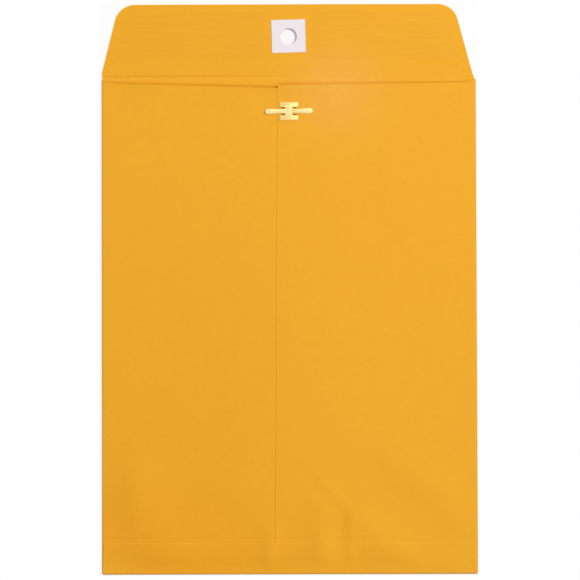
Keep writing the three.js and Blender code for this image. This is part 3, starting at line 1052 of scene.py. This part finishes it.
def makeFoldedSheet(name, panelNode, foldNode, outwards, material, step=0.0):
    low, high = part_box(panelNode)
    foldLow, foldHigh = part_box(foldNode)
    axis = 0 if outwards[0] else 1
    sign = outwards[axis]
    foldAt = sign * (high[axis] if sign > 0 else low[axis])
    radius = high.z / 2
    strip = math.pi * radius
    sheet = upperFaces(panelNode)
    cell = backSheets["cell"] * mm
    edge = sign * foldAt
    beyond = edge + sign * strip
    foldSteps = backSheets["foldSteps"]
    foldLines = [edge + sign * strip * i / foldSteps for i in range(foldSteps + 1)]
    if axis == 0:
        addRectangle(sheet, min(edge, beyond), foldLow.y, max(edge, beyond), foldHigh.y)
        linesX = cutLines(low.x, high.x, cell) + foldLines
        linesY = cutLines(foldLow.y, high.y, cell, [low.y, foldHigh.y])
    else:
        addRectangle(sheet, foldLow.x, min(edge, beyond), foldHigh.x, max(edge, beyond))
        linesX = cutLines(low.x, high.x, cell)
        linesY = cutLines(low.y, high.y, cell) + foldLines
    cutGrid(sheet, linesX, linesY)
    piece = layPaper(name, sheet, material, **{
        "Thickness": high.z - low.z, "Height": low.z, "Fold Outwards": outwards, "Fold At": foldAt,
        "Fold Radius": radius, "Pocket Share": 1.0, **stepDown(step)})
    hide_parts(panelNode, foldNode)
    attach(piece, "pocket")


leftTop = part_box("left_back_panel")[1].z
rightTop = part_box("right_back_panel")[1].z
makeFoldedSheet("leftBackPanel", "left_back_panel", "left_side_fold", (-1, 0, 0), backMaterial)
makeFoldedSheet("rightBackPanel", "right_back_panel", "right_side_fold", (1, 0, 0), backMaterial)
makeFoldedSheet("bottomFlap", "bottom_flap", "bottom_fold", (0, -1, 0), kraftMaterial, rightTop - leftTop)


# Glue films, gum strips and the patch, which follow the paper they lie on

films = {  # mm
    "glueCell": 1.6,
    "patchCell": 1.0,
    "gumCell": 2.0,
}


def makeFilm(name, node, material, slot, body, cell, **inputs):
    low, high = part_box(node)
    sheet = upperFaces(node)
    cutGrid(sheet, cutLines(low.x, high.x, cell * mm), cutLines(low.y, high.y, cell * mm))
    given = {"Thickness": high.z - low.z, "Height": low.z}
    piece = layPaper(name, sheet, material, **{**given, **inputs})
    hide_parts(node)
    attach(piece, body)


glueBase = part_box("bottom_flap")[0].z
glueCell, patchCell, gumCell = films["glueCell"], films["patchCell"], films["gumCell"]
onPocket = {"Pocket Share": 1.0}
onFlap = {"Flap Share": 1.0}
underBottomFlap = {"Height": rightTop, "Thickness": glueBase - rightTop, **stepDown(rightTop - leftTop)}
makeFilm("seamGlue", "seam_adhesive", glueMaterial, "dried_glue", "pocket", glueCell, **onPocket)
makeFilm("bottomGlue", "bottom_adhesive", glueMaterial, "dried_glue", "pocket", glueCell,
         **onPocket, **underBottomFlap)
makeFilm("patchGlue", "patch_adhesive", glueMaterial, "dried_glue", "seal_flap", patchCell, **onFlap)
makeFilm("holePatch", "hole_patch", patchMaterial, "white_paper", "seal_flap", patchCell, **onFlap)
makeFilm("leftFlapGum", "left_flap_gum", gumMaterial, "flap_gum", "seal_flap", gumCell, **onFlap)
makeFilm("rightFlapGum", "right_flap_gum", gumMaterial, "flap_gum", "seal_flap", gumCell, **onFlap)


# Brass clasp: the base is one stamping with eased edges, and each prong is crowned and ends in a bulb

claspBase = {
    "edgeEase": 0.07,  # mm
    "easeSteps": 3,
    "easeAngle": 35,  # degrees; a flatter edge isn't eased
    "flatAngle": 1,  # degrees; faces that meet flatter are one face
}


def makeClaspBase():
    sheet = frameSheet("clasp_base")
    flat = math.radians(claspBase["flatAngle"])
    bmesh.ops.dissolve_limit(sheet, angle_limit=flat, verts=sheet.verts, edges=sheet.edges)
    for face in sheet.faces:
        face.smooth = True
    piece = bpy.data.objects.new("claspBase", toMesh(sheet, "claspBase"))
    bpy.context.scene.collection.objects.link(piece)
    ease = piece.modifiers.new("ease", "BEVEL")
    ease.width = claspBase["edgeEase"] * mm
    ease.segments = claspBase["easeSteps"]
    ease.limit_method = "ANGLE"
    ease.angle_limit = math.radians(claspBase["easeAngle"])
    ease.harden_normals = True
    piece.data.materials.append(brassMaterial)
    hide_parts("clasp_base")
    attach(piece, "pocket")
    print("claspBase made")


prong = {  # lengths in mm
    "rows": 44,
    "rowPower": 1.6,  # draws the rows together towards the tip
    "sides": 20,
    "acrossPower": 0.6,  # these two square the round section
    "upPower": 0.7,
    "rootHalf": 1.2,
    "rootInset": 0.12,  # how far the root runs into the base
    "bulbFromTip": 2.6,  # where the prong is widest
    "widenPower": 1.3,
    "tipPower": 0.8,
    "tipHalf": 0.02,
    "thinHalf": 0.3,  # the tip thins where it is narrower than this
    "crown": 0.10,  # how far the middle stands over the edges
    "crownRamp": 1.5,
    "lean": {"left": -0.30, "right": 0.16},  # how far the tip lies off the level line
    "bendStart": 0.05,  # from the root
    "bendLength": 0.7,
}


def signedPower(value, power):
    return math.copysign(abs(value) ** power, value)


def prongHalf(along, reach, bulbHalf):
    rootHalf = prong["rootHalf"] * mm
    widen = min(1, max(0, along / (reach - prong["bulbFromTip"] * mm)))
    half = rootHalf + (bulbHalf - rootHalf) * widen ** prong["widenPower"]
    left = reach - along
    if left < bulbHalf:  # the round end
        half *= math.sqrt(max(0.0, 1 - (1 - left / bulbHalf) ** 2)) ** prong["tipPower"]
    return max(half, prong["tipHalf"] * mm)


def makeProng(name, node, side):
    low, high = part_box(node)
    middle = middleOf(node)
    tipX = low.x if side < 0 else high.x
    rootX = (high.x if side < 0 else low.x) - side * prong["rootInset"] * mm
    bulbHalf = (high.y - low.y) / 2
    reach = abs(tipX - rootX)
    tipLean = prong["lean"]["left" if side < 0 else "right"] * mm
    sheet = bmesh.new()
    rings = []
    for i in range(prong["rows"] + 1):
        share = 1 - (1 - i / prong["rows"]) ** prong["rowPower"]
        along = share * reach
        half = prongHalf(along, reach, bulbHalf)
        halfThick = (high.z - low.z) / 2 * min(1, half / (prong["thinHalf"] * mm))
        fullCrown = prong["crown"] * mm * min(1, along / (prong["crownRamp"] * mm)) * min(1, half / bulbHalf)
        ring = []
        for k in range(prong["sides"]):
            angle = 2 * math.pi * k / prong["sides"]
            across = signedPower(math.cos(angle), prong["acrossPower"])
            up = signedPower(math.sin(angle), prong["upPower"])
            y = middle.y + across * half + tipLean * share
            z = middle.z + up * halfThick + fullCrown * (1 - across ** 2) * (up > 0)
            ring.append(sheet.verts.new((rootX + side * along, y, z)))
        rings.append(ring)
    for first, second in zip(rings, rings[1:]):
        for k in range(prong["sides"]):
            nextK = (k + 1) % prong["sides"]
            sheet.faces.new((first[k], first[nextK], second[nextK], second[k]))
    sheet.faces.new(rings[0])
    sheet.faces.new(rings[-1])
    bmesh.ops.recalc_face_normals(sheet, faces=sheet.faces)
    for face in sheet.faces:
        face.smooth = len(face.verts) == 4
    piece = bpy.data.objects.new(name, toMesh(sheet, name))
    bpy.context.scene.collection.objects.link(piece)
    piece.data.materials.append(brassMaterial)
    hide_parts(node)
    bendStart = rootX + side * prong["bendStart"] * mm
    bendEnd = bendStart + side * prong["bendLength"] * mm
    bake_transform(piece)
    print(name, "made")


makeClaspBase()
makeProng("leftProng", "left_prong", -1)
makeProng("rightProng", "right_prong", 1)

bpy.context.scene.view_settings.view_transform = "Standard"
